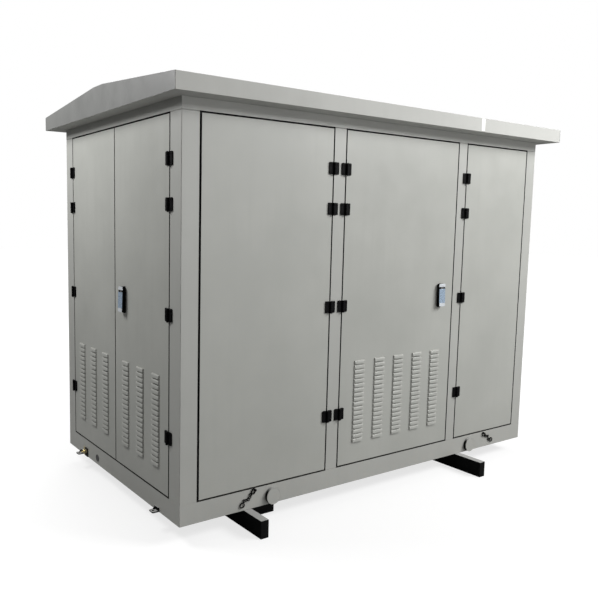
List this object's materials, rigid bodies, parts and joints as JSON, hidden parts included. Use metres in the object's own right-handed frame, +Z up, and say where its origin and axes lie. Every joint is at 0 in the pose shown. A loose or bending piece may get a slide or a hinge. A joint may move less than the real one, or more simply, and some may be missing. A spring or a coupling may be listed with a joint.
{
  "type": "pad-mounted transformer",
  "caption": "Walk-up steel transformer enclosure on skids with a low gabled roof, hinged louvred doors, swing-lever locks, lifting trunnions and equipment inside.",
  "frame": {"origin": "on the ground under the middle of the roof, at the centre of the bounding box's base", "axes": "+Z up, +X along the long front towards the right-hand end, the front with three doors faces -Y, the double doors are on the two ends at -X and +X"},
  "size_m": [3.38, 2.19, 2.648],
  "materials": {
    "enclosure_paint": "satin warm grey powder coat",
    "roof_paint": "satin light grey powder coat",
    "black_paint": "satin black paint",
    "black_casting": "black coated casting",
    "hinge_pin_steel": "blackened steel",
    "seal_rubber": "black sealing strip",
    "earth_brass": "plain brass",
    "tank_paint": "grey-green tank paint",
    "bushing_glaze": "brown glazed insulator",
    "cabinet_paint": "light grey cabinet paint",
    "conductor_sleeve": "red-brown insulating sleeve",
    "busbar_copper": "bare copper bar",
    "lock_chrome": "pale blue-white plated lever",
    "rod_steel": "zinc plated steel"
  },
  "bodies": {
    "enclosure": {"skids": "black_paint", "packing_block": "black_paint", "base_rails": "enclosure_paint", "cross_members": "black_paint", "trunnion_sleeves": "black_paint", "floor_plate": "enclosure_paint", "corner_posts": "enclosure_paint", "mullions": "enclosure_paint", "header_band": "enclosure_paint", "roof_shell": "roof_paint", "roof_joint_strip": "roof_paint", "rear_panels": "enclosure_paint", "partitions": "enclosure_paint", "door_seals": "seal_rubber", "frame_hinge_leaves": "black_casting", "hinge_pins": "hinge_pin_steel", "lifting_chains": "black_casting", "tie_down_lugs": "black_paint", "earth_studs": "earth_brass", "end_pads": "seal_rubber", "transformer_tank": "tank_paint", "tank_radiators": "tank_paint", "tank_bushings": "bushing_glaze", "hv_switchgear": "cabinet_paint", "lv_switchboard": "cabinet_paint", "hv_conductors": "conductor_sleeve", "lv_busbars": "busbar_copper"},
    "front_door_left": {"front_door_left": "enclosure_paint", "hinges_front_left": "black_casting"},
    "front_door_middle": {"front_door_middle": "enclosure_paint", "hinges_front_middle": "black_casting", "lock_plate_front": "black_casting"},
    "front_door_right": {"front_door_right": "enclosure_paint", "hinges_front_right": "black_casting"},
    "left_end_door_near": {"left_end_door_near": "enclosure_paint", "hinges_left_end_near": "black_casting", "lock_plate_left": "black_casting"},
    "left_end_door_far": {"left_end_door_far": "enclosure_paint", "hinges_left_end_far": "black_casting"},
    "right_end_door_near": {"right_end_door_near": "enclosure_paint", "hinges_right_end_near": "black_casting", "lock_plate_right": "black_casting"},
    "right_end_door_far": {"right_end_door_far": "enclosure_paint", "hinges_right_end_far": "black_casting"},
    "lock_spindle_front": {"lock_spindle_front": "rod_steel"},
    "lock_lever_front": {"lock_lever_front": "lock_chrome"},
    "top_rod_front": {"top_rod_front": "rod_steel"},
    "bottom_rod_front": {"bottom_rod_front": "rod_steel"},
    "lock_spindle_left": {"lock_spindle_left": "rod_steel"},
    "lock_lever_left": {"lock_lever_left": "lock_chrome"},
    "top_rod_left": {"top_rod_left": "rod_steel"},
    "bottom_rod_left": {"bottom_rod_left": "rod_steel"},
    "lock_spindle_right": {"lock_spindle_right": "rod_steel"},
    "lock_lever_right": {"lock_lever_right": "lock_chrome"},
    "top_rod_right": {"top_rod_right": "rod_steel"},
    "bottom_rod_right": {"bottom_rod_right": "rod_steel"},
    "trunnion_front_left": {"trunnion_front_left": "enclosure_paint"},
    "trunnion_front_right": {"trunnion_front_right": "enclosure_paint"},
    "trunnion_rear_left": {"trunnion_rear_left": "enclosure_paint"},
    "trunnion_rear_right": {"trunnion_rear_right": "enclosure_paint"}
  },
  "joints": [
    {"name": "front_door_left_swing", "type": "hinge", "parent": "enclosure", "child": "front_door_left", "pos_m": [-0.5095, -0.882, 1.32], "axis": [0, 0, 1], "range_deg": [0, 90]},
    {"name": "front_door_middle_swing", "type": "hinge", "parent": "enclosure", "child": "front_door_middle", "pos_m": [-0.407, -0.882, 1.32], "axis": [0, 0, -1], "range_deg": [0, 90]},
    {"name": "front_door_right_swing", "type": "hinge", "parent": "enclosure", "child": "front_door_right", "pos_m": [0.761, -0.882, 1.32], "axis": [0, 0, -1], "range_deg": [0, 105]},
    {"name": "left_end_door_near_swing", "type": "hinge", "parent": "enclosure", "child": "left_end_door_near", "pos_m": [-1.592, -0.74, 1.32], "axis": [0, 0, 1], "range_deg": [0, 105]},
    {"name": "left_end_door_far_swing", "type": "hinge", "parent": "enclosure", "child": "left_end_door_far", "pos_m": [-1.592, 0.74, 1.32], "axis": [0, 0, -1], "range_deg": [0, 105]},
    {"name": "right_end_door_near_swing", "type": "hinge", "parent": "enclosure", "child": "right_end_door_near", "pos_m": [1.592, -0.74, 1.32], "axis": [0, 0, -1], "range_deg": [0, 105]},
    {"name": "right_end_door_far_swing", "type": "hinge", "parent": "enclosure", "child": "right_end_door_far", "pos_m": [1.592, 0.74, 1.32], "axis": [0, 0, 1], "range_deg": [0, 105]},
    {"name": "spindle_turn_front", "type": "hinge", "parent": "front_door_middle", "child": "lock_spindle_front", "pos_m": [0.523, -0.87, 1.38], "axis": [0, 1, 0], "range_deg": [0, 90]},
    {"name": "lever_flip_front", "type": "hinge", "parent": "lock_spindle_front", "child": "lock_lever_front", "pos_m": [0.523, -0.888, 1.38], "axis": [-1, 0, 0], "range_deg": [0, 30]},
    {"name": "top_rod_slide_front", "type": "slide", "parent": "front_door_middle", "child": "top_rod_front", "axis": [0, 0, -1], "range_m": [0, 0.02]},
    {"name": "bottom_rod_slide_front", "type": "slide", "parent": "front_door_middle", "child": "bottom_rod_front", "axis": [0, 0, 1], "range_m": [0, 0.02]},
    {"name": "spindle_turn_left", "type": "hinge", "parent": "left_end_door_near", "child": "lock_spindle_left", "pos_m": [-1.58, -0.143, 1.38], "axis": [-1, 0, 0], "range_deg": [0, 90]},
    {"name": "lever_flip_left", "type": "hinge", "parent": "lock_spindle_left", "child": "lock_lever_left", "pos_m": [-1.598, -0.143, 1.38], "axis": [0, 1, 0], "range_deg": [0, 30]},
    {"name": "top_rod_slide_left", "type": "slide", "parent": "left_end_door_near", "child": "top_rod_left", "axis": [0, 0, -1], "range_m": [0, 0.02]},
    {"name": "bottom_rod_slide_left", "type": "slide", "parent": "left_end_door_near", "child": "bottom_rod_left", "axis": [0, 0, 1], "range_m": [0, 0.02]},
    {"name": "spindle_turn_right", "type": "hinge", "parent": "right_end_door_near", "child": "lock_spindle_right", "pos_m": [1.58, -0.143, 1.38], "axis": [-1, 0, 0], "range_deg": [0, 90]},
    {"name": "lever_flip_right", "type": "hinge", "parent": "lock_spindle_right", "child": "lock_lever_right", "pos_m": [1.598, -0.143, 1.38], "axis": [0, -1, 0], "range_deg": [0, 30]},
    {"name": "top_rod_slide_right", "type": "slide", "parent": "right_end_door_near", "child": "top_rod_right", "axis": [0, 0, -1], "range_m": [0, 0.02]},
    {"name": "bottom_rod_slide_right", "type": "slide", "parent": "right_end_door_near", "child": "bottom_rod_right", "axis": [0, 0, 1], "range_m": [0, 0.02]},
    {"name": "trunnion_front_left_slide", "type": "slide", "parent": "enclosure", "child": "trunnion_front_left", "axis": [0, -1, 0], "range_m": [0, 0.12]},
    {"name": "trunnion_front_right_slide", "type": "slide", "parent": "enclosure", "child": "trunnion_front_right", "axis": [0, -1, 0], "range_m": [0, 0.12]},
    {"name": "trunnion_rear_left_slide", "type": "slide", "parent": "enclosure", "child": "trunnion_rear_left", "axis": [0, 1, 0], "range_m": [0, 0.12]},
    {"name": "trunnion_rear_right_slide", "type": "slide", "parent": "enclosure", "child": "trunnion_rear_right", "axis": [0, 1, 0], "range_m": [0, 0.12]}
  ],
  "couplings": [
    {"joint": "top_rod_slide_front", "follows": "spindle_turn_front", "m_per_rad": 0.012732},
    {"joint": "bottom_rod_slide_front", "follows": "spindle_turn_front", "m_per_rad": 0.012732},
    {"joint": "top_rod_slide_left", "follows": "spindle_turn_left", "m_per_rad": 0.012732},
    {"joint": "bottom_rod_slide_left", "follows": "spindle_turn_left", "m_per_rad": 0.012732},
    {"joint": "top_rod_slide_right", "follows": "spindle_turn_right", "m_per_rad": 0.012732},
    {"joint": "bottom_rod_slide_right", "follows": "spindle_turn_right", "m_per_rad": 0.012732}
  ]
}
